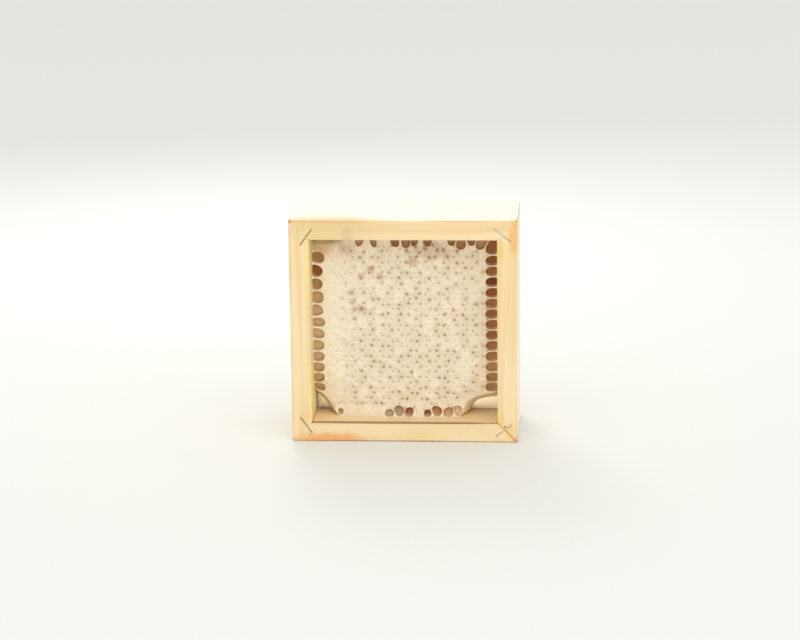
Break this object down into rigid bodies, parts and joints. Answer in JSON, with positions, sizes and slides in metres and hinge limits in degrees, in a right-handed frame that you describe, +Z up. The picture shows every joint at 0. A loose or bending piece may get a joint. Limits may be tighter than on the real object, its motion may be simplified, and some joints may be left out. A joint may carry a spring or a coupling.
{
  "type": "honeycomb section in a wooden frame",
  "caption": "Slab of natural honeycomb, mostly capped with open honey cells along its edges, built inside a small stapled wooden section frame that stands upright.",
  "frame": {"origin": "middle of the footprint, on the surface that the frame stands on", "axes": "+Z up the standing frame, +Y through its depth from front to back, +X to the right as seen from the front"},
  "size_m": [0.115, 0.0532, 0.115],
  "materials": {
    "frame_wood": "bare planed limewood, satin",
    "staple_steel": "dull galvanised wire",
    "comb_wax": "fresh cream beeswax cappings and cell walls",
    "honey": "clear amber honey, wet gloss"
  },
  "bodies": {
    "root": {"rail_top": "frame_wood", "rail_bottom": "frame_wood", "rail_left": "frame_wood", "rail_right": "frame_wood", "staple_front_top_left": "staple_steel", "staple_front_top_right": "staple_steel", "staple_front_bottom_left": "staple_steel", "staple_front_bottom_right": "staple_steel", "staple_back_top_left": "staple_steel", "staple_back_top_right": "staple_steel", "staple_back_bottom_left": "staple_steel", "staple_back_bottom_right": "staple_steel", "comb": "comb_wax"}
  },
  "joints": []
}
